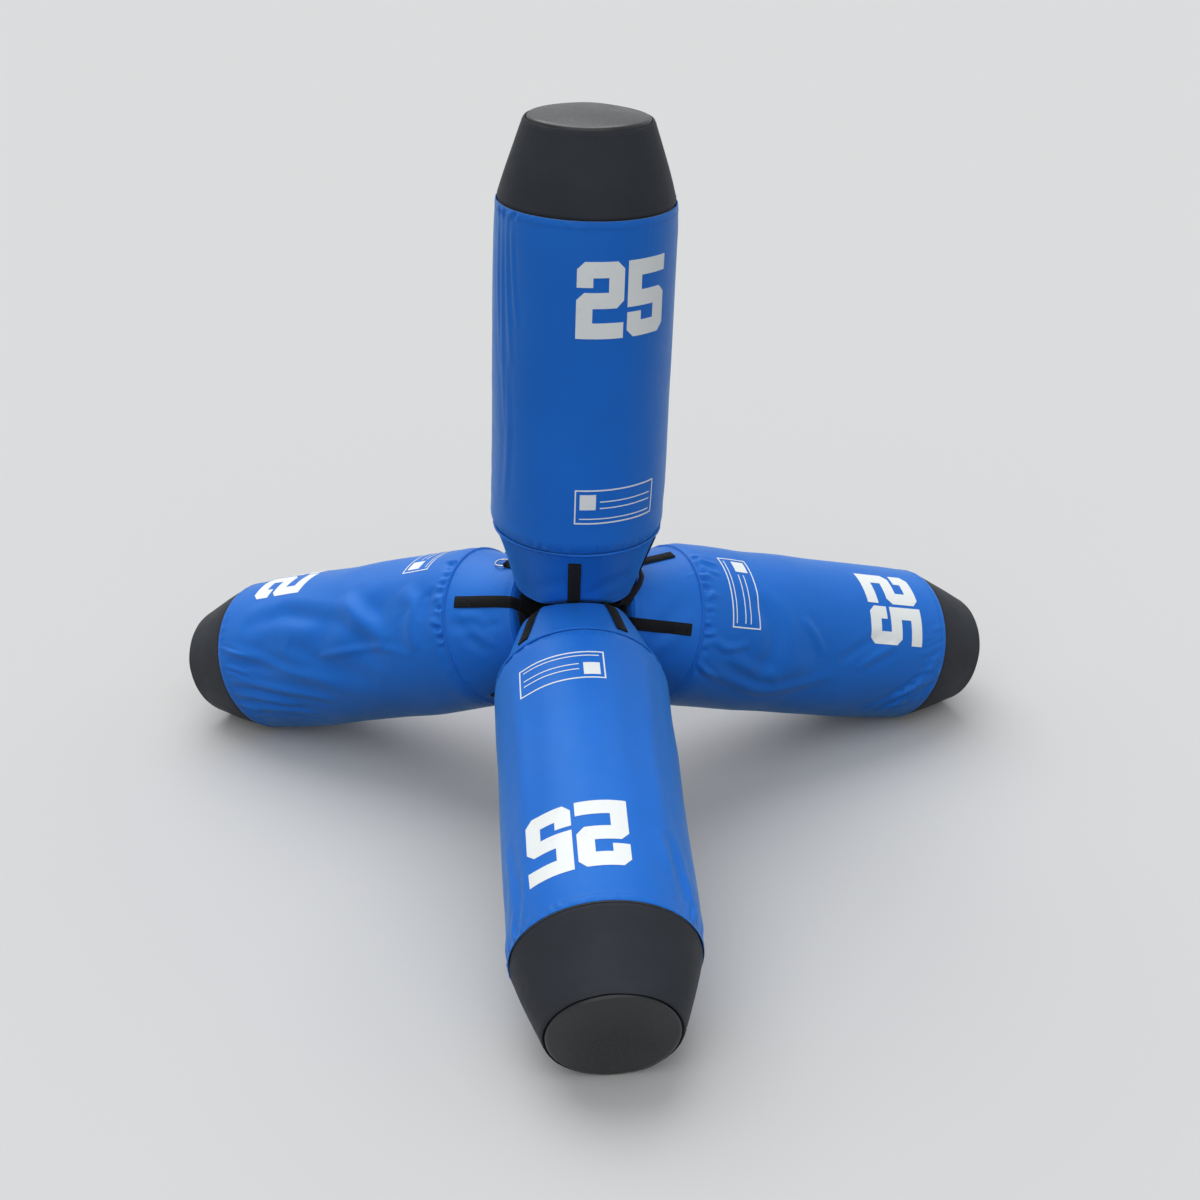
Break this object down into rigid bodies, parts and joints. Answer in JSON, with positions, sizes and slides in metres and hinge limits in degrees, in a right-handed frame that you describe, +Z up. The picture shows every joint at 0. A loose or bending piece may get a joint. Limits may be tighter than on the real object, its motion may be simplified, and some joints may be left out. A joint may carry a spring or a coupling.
{
  "type": "tackling bag",
  "caption": "Four-armed tackling bag: foam-filled cylinders with tapered ends, strapped together at a hub so that it stands on any three and rolls when hit.",
  "frame": {"origin": "middle of the object's footprint box, on the floor that it stands on", "axes": "+Z up; +X to the right of a viewer who faces the front arm; the front arm points along -Y"},
  "size_m": [1.5878, 1.416, 1.2603],
  "materials": {
    "blue_cover": "satin",
    "black_cover": "satin",
    "webbing": "matte",
    "foam": "matte",
    "steel": "polished"
  },
  "bodies": {
    "bag": {"d_ring_tab": "webbing", "front_base_cone": "blue_cover", "front_base_panel": "black_cover", "front_foam_core": "foam", "front_sleeve": "blue_cover", "front_strap_1": "webbing", "front_strap_2": "webbing", "front_strap_3": "webbing", "front_strap_4": "webbing", "front_tip_cone": "black_cover", "front_tip_panel": "black_cover", "hub_pad": "webbing", "left_base_cone": "blue_cover", "left_base_panel": "black_cover", "left_foam_core": "foam", "left_sleeve": "blue_cover", "left_strap_1": "webbing", "left_strap_2": "webbing", "left_strap_3": "webbing", "left_strap_4": "webbing", "left_tip_cone": "black_cover", "left_tip_panel": "black_cover", "right_base_cone": "blue_cover", "right_base_panel": "black_cover", "right_foam_core": "foam", "right_sleeve": "blue_cover", "right_strap_1": "webbing", "right_strap_2": "webbing", "right_strap_3": "webbing", "right_strap_4": "webbing", "right_tip_cone": "black_cover", "right_tip_panel": "black_cover", "top_base_cone": "blue_cover", "top_base_panel": "black_cover", "top_foam_core": "foam", "top_sleeve": "blue_cover", "top_strap_1": "webbing", "top_strap_2": "webbing", "top_strap_3": "webbing", "top_strap_4": "webbing", "top_tip_cone": "black_cover", "top_tip_panel": "black_cover"},
    "ring": {"d_ring": "steel"}
  },
  "joints": [
    {"name": "d_ring_swing", "type": "hinge", "parent": "bag", "child": "ring", "pos_m": [-0.14348, 0.22584, 0.45334], "axis": [0.5208, 0.85, 0.0795], "range_deg": [0, 165]}
  ]
}
